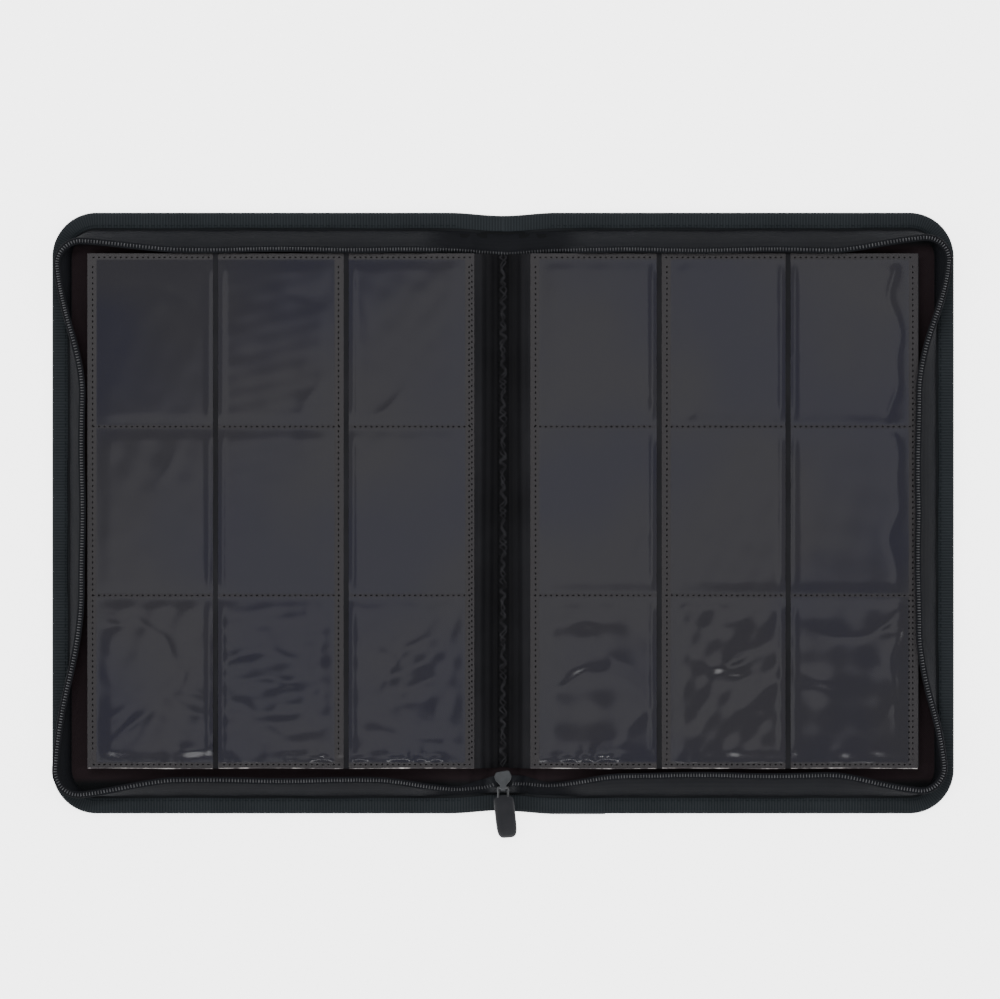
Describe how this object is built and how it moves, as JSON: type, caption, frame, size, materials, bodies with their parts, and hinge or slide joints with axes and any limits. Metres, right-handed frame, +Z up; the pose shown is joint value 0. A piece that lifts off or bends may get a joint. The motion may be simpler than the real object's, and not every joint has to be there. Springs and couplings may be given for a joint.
{
  "type": "trading card binder",
  "caption": "Zip-round trading card binder lying open, with side-loading clear pocket leaves, standing zip tapes, a slider with a soft pull and ribbed edge binding.",
  "frame": {"origin": "middle of the spine's underside, on the surface that the open binder lies on", "axes": "+X runs across the open binder to the back cover, +Y to the top edge of the leaves, +Z up out of the open pages"},
  "size_m": [0.504, 0.3498, 0.022],
  "materials": {
    "cover_cloth": "dense black polyester cover cloth over padding",
    "foam": "thin foam padding, hidden",
    "board": "grey-brown stiff board, hidden",
    "lining": "near-black smooth lining cloth",
    "ribbed_binding": "ribbed grosgrain edge tape, dark blue-grey",
    "zip_cloth": "smooth woven zip tape, dark grey",
    "zip_coil": "light grey nylon coil teeth",
    "leaf_cloth": "fine black woven leaf backing",
    "clear_film": "thin glossy clear film, slightly wrinkled",
    "slider_metal": "grey painted cast slider",
    "wire": "dark steel wire",
    "pull_rubber": "soft matte dark rubber"
  },
  "bodies": {
    "spine": {"spine_skin": "cover_cloth", "spine_board": "board", "spine_lining": "lining", "spine_binding_top": "ribbed_binding", "spine_binding_bottom": "ribbed_binding", "spine_zip_tape_top": "zip_cloth", "spine_zip_tape_bottom": "zip_cloth", "spine_zip_coil_top": "zip_coil", "spine_zip_coil_bottom": "zip_coil", "leaf_seam": "leaf_cloth", "left_gutter": "leaf_cloth", "right_gutter": "leaf_cloth"},
    "front_cover": {"front_cover_skin": "cover_cloth", "front_cover_padding": "foam", "front_cover_board": "board", "front_cover_lining": "lining", "front_cover_binding": "ribbed_binding", "front_cover_zip_tape": "zip_cloth", "front_cover_zip_coil": "zip_coil"},
    "back_cover": {"back_cover_skin": "cover_cloth", "back_cover_padding": "foam", "back_cover_board": "board", "back_cover_lining": "lining", "back_cover_binding": "ribbed_binding", "back_cover_zip_tape": "zip_cloth", "back_cover_zip_coil": "zip_coil"},
    "left_stack": {"left_lower_leaf_1": "leaf_cloth", "left_lower_leaf_2": "leaf_cloth", "left_lower_leaf_3": "leaf_cloth", "left_lower_leaf_4": "leaf_cloth", "left_lower_leaf_5": "leaf_cloth", "left_lower_leaf_6": "leaf_cloth", "left_lower_leaf_7": "leaf_cloth"},
    "left_leaf": {"left_top_leaf_backing": "leaf_cloth", "left_top_leaf_film_1": "clear_film", "left_top_leaf_film_2": "clear_film", "left_top_leaf_film_3": "clear_film", "left_under_film_1": "clear_film", "left_under_film_2": "clear_film", "left_under_film_3": "clear_film"},
    "right_stack": {"right_lower_leaf_1": "leaf_cloth", "right_lower_leaf_2": "leaf_cloth", "right_lower_leaf_3": "leaf_cloth", "right_lower_leaf_4": "leaf_cloth", "right_lower_leaf_5": "leaf_cloth", "right_lower_leaf_6": "leaf_cloth", "right_lower_leaf_7": "leaf_cloth"},
    "right_leaf": {"right_top_leaf_backing": "leaf_cloth", "right_top_leaf_film_1": "clear_film", "right_top_leaf_film_2": "clear_film", "right_top_leaf_film_3": "clear_film", "right_under_film_1": "clear_film", "right_under_film_2": "clear_film", "right_under_film_3": "clear_film"},
    "slider": {"slider_body": "slider_metal"},
    "pull": {"pull_bail": "wire", "pull_tab": "pull_rubber"}
  },
  "joints": [
    {"name": "front_cover_fold", "type": "hinge", "parent": "spine", "child": "front_cover", "pos_m": [-0.0165, 0, 0.001], "axis": [0, 1, 0], "range_deg": [0, 90]},
    {"name": "back_cover_fold", "type": "hinge", "parent": "spine", "child": "back_cover", "pos_m": [0.0165, 0, 0.001], "axis": [0, -1, 0], "range_deg": [0, 90]},
    {"name": "left_stack_fold", "type": "hinge", "parent": "spine", "child": "left_stack", "pos_m": [-0.0147, 0, 0.0028], "axis": [0, 1, 0], "range_deg": [0, 90]},
    {"name": "right_stack_fold", "type": "hinge", "parent": "spine", "child": "right_stack", "pos_m": [0.0147, 0, 0.0028], "axis": [0, -1, 0], "range_deg": [0, 90]},
    {"name": "left_leaf_turn", "type": "hinge", "parent": "left_stack", "child": "left_leaf", "pos_m": [0, 0, 0.01303], "axis": [0, -1, 0], "range_deg": [-176, 0]},
    {"name": "right_leaf_turn", "type": "hinge", "parent": "right_stack", "child": "right_leaf", "pos_m": [0, 0, 0.01303], "axis": [0, 1, 0], "range_deg": [-176, 0]},
    {"name": "slider_travel", "type": "slide", "parent": "spine", "child": "slider", "axis": [0, -1, 0], "range_m": [-0.0018, 0]},
    {"name": "pull_flip", "type": "hinge", "parent": "slider", "child": "pull", "pos_m": [0, -0.1525, 0.0197], "axis": [1, 0, 0], "range_deg": [-168, 0]}
  ],
  "couplings": [
    {"joint": "left_stack_fold", "follows": "front_cover_fold", "ratio": 1},
    {"joint": "right_stack_fold", "follows": "back_cover_fold", "ratio": 1}
  ]
}
